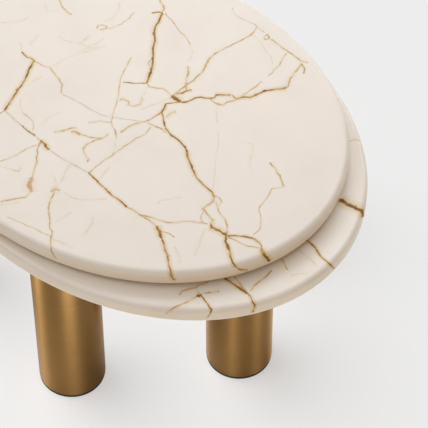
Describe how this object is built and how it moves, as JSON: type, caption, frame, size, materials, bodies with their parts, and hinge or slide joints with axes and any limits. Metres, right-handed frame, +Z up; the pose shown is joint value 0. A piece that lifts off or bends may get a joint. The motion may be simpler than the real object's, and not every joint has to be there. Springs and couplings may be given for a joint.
{
  "type": "nesting tables",
  "caption": "Low and tall coffee tables with thick marble oval tops and round brass legs; the low one slides out from under the tall one's nose.",
  "frame": {"origin": "on the floor, at the middle of the box around both tables", "axes": "+X along the tall top towards its nose, which hangs over the low table; +Z up"},
  "size_m": [1.3901, 0.6224, 0.431],
  "materials": {
    "marble": "honed cream marble with gold and brown veins",
    "brushed_brass": "brushed antique brass",
    "plate_steel": "black painted steel",
    "screw_steel": "zinc plated",
    "insert_brass": "turned",
    "glide_rubber": "matt black"
  },
  "bodies": {
    "tall_table": {"tall_top": "marble", "tall_left_stiffener": "plate_steel", "tall_right_stiffener": "plate_steel", "tall_leg_screws": "screw_steel", "tall_stone_inserts": "insert_brass", "tall_left_leg_tube": "brushed_brass", "tall_left_leg_head_plate": "plate_steel", "tall_left_leg_foot_plate": "plate_steel", "tall_left_leg_glide": "glide_rubber", "tall_right_leg_tube": "brushed_brass", "tall_right_leg_head_plate": "plate_steel", "tall_right_leg_foot_plate": "plate_steel", "tall_right_leg_glide": "glide_rubber", "tall_tail_leg_tube": "brushed_brass", "tall_tail_leg_head_plate": "plate_steel", "tall_tail_leg_foot_plate": "plate_steel", "tall_tail_leg_glide": "glide_rubber"},
    "low_table": {"low_top": "marble", "low_leg_screws": "screw_steel", "low_stone_inserts": "insert_brass", "low_nose_leg_tube": "brushed_brass", "low_nose_leg_head_plate": "plate_steel", "low_nose_leg_foot_plate": "plate_steel", "low_nose_leg_glide": "glide_rubber", "low_left_leg_tube": "brushed_brass", "low_left_leg_head_plate": "plate_steel", "low_left_leg_foot_plate": "plate_steel", "low_left_leg_glide": "glide_rubber", "low_right_leg_tube": "brushed_brass", "low_right_leg_head_plate": "plate_steel", "low_right_leg_foot_plate": "plate_steel", "low_right_leg_glide": "glide_rubber"}
  },
  "joints": [
    {"name": "low_table_slide", "type": "slide", "parent": "tall_table", "child": "low_table", "axis": [0.9895, -0.1444, 0], "range_m": [-0.045, 0.54]}
  ]
}
